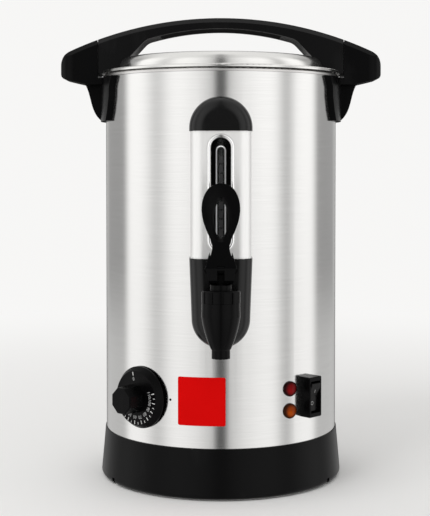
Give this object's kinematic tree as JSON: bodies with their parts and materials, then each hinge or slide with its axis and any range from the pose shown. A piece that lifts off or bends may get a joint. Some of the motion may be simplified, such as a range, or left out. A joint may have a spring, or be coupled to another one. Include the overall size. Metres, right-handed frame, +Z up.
{
  "type": "hot water urn",
  "caption": "Upright cylindrical steel hot water urn with a bow handle over its lift-off lid, a front sight glass, a lever tap, a thermostat dial, indicator lamps and a rocker switch.",
  "frame": {"origin": "on the body's upright axis, level with the soles of the feet; the base ring's lower edge is 1 mm above it", "axes": "+Z is up, -Y is the front where the tap is, +X is to the right of someone who faces the tap"},
  "size_m": [0.3104, 0.2956, 0.442],
  "materials": {
    "steel_brushed": "fine horizontal grain",
    "steel_polished": "bright polished",
    "steel_tank": "drawn, satin",
    "steel_plain": "plain rolled sheet",
    "fastener": "zinc plated",
    "spring_steel": "stainless wire",
    "chrome": "bright",
    "aluminium": "cast, plain",
    "brass": "turned",
    "copper": "drawn tube",
    "glass": "clear",
    "silicone": "translucent white silicone",
    "foot_rubber": "matt",
    "black_satin": "satin, heat resistant",
    "black_plain": "plain moulded",
    "black_gloss": "glossy",
    "white_plastic": "plain moulded",
    "lens_red": "clear red lens",
    "lens_amber": "clear amber lens",
    "button_red": "plain moulded"
  },
  "bodies": {
    "urn": {"base_ring": "black_satin", "base_plate": "steel_plain", "feet": "foot_rubber", "base_screws": "fastener", "base_nuts": "fastener", "outer_shell": "steel_brushed", "inner_tank": "steel_tank", "right_side_handle": "black_satin", "left_side_handle": "black_satin", "side_handle_screws": "fastener", "column_cover": "steel_polished", "column_cap": "black_satin", "column_screws": "fastener", "window_bezel": "chrome", "scale_channel": "black_plain", "sight_tube": "glass", "sight_tube_tee": "brass", "sight_tube_seals": "silicone", "tap_shroud": "black_satin", "tap_body": "black_gloss", "tap_bonnet": "black_gloss", "tap_spring": "spring_steel", "tap_shank_nut": "brass", "tap_washers": "silicone", "thermostat_body": "white_plastic", "thermostat_nut": "fastener", "thermostat_sensor": "copper", "red_lamp": "lens_red", "amber_lamp": "lens_amber", "lamp_holders": "black_plain", "switch_housing": "black_satin", "power_inlet": "black_plain", "inlet_pins": "brass", "inlet_screws": "fastener", "heating_plate": "aluminium", "heating_element": "steel_plain", "element_terminals": "fastener", "thermal_cutout": "white_plastic", "cutout_sensor": "copper"},
    "lid_seal_ring": {"lid_seal": "silicone"},
    "lid": {"lid_pan": "steel_polished", "lid_handle": "black_satin", "lid_handle_liner": "black_plain", "lid_screws": "fastener"},
    "knob": {"thermostat_knob": "black_satin", "thermostat_shaft": "brass"},
    "rocker": {"switch_rocker": "black_satin"},
    "stem": {"tap_stem": "brass", "seat_cup": "silicone", "lever_pin": "fastener"},
    "lever": {"tap_lever": "black_gloss"},
    "button": {"reset_button": "button_red"}
  },
  "joints": [
    {"name": "lid_lift", "type": "slide", "parent": "urn", "child": "lid_seal_ring", "axis": [0, 0, 1], "range_m": [0, 0.2]},
    {"name": "lid_turn", "type": "hinge", "parent": "lid_seal_ring", "child": "lid", "pos_m": [0, 0, 0.39], "axis": [0, 0, 1], "continuous": true},
    {"name": "thermostat_turn", "type": "hinge", "parent": "urn", "child": "knob", "pos_m": [-0.07259, -0.08529, 0.0884], "axis": [-0.6481, -0.7615, 0], "range_deg": [0, 270]},
    {"name": "switch_rock", "type": "hinge", "parent": "urn", "child": "rocker", "pos_m": [0.08288, -0.08173, 0.0884], "axis": [-0.7022, -0.712, 0], "range_deg": [0, 20]},
    {"name": "stem_slide", "type": "slide", "parent": "urn", "child": "stem", "axis": [0, 0, 1], "range_m": [0, 0.003], "stiffness_N_per_m": 1500, "springref_m": -0.003, "deforming": ["tap_spring"]},
    {"name": "lever_tilt", "type": "hinge", "parent": "stem", "child": "lever", "pos_m": [0, -0.162, 0.2116], "axis": [1, 0, 0], "range_deg": [0, 45]},
    {"name": "button_press", "type": "slide", "parent": "urn", "child": "button", "axis": [0, 0, 1], "range_m": [0, 0.0015], "stiffness_N_per_m": 800, "springref_m": -0.001}
  ],
  "couplings": [
    {"joint": "lever_tilt", "follows": "stem_slide", "rad_per_m": 261.8}
  ]
}
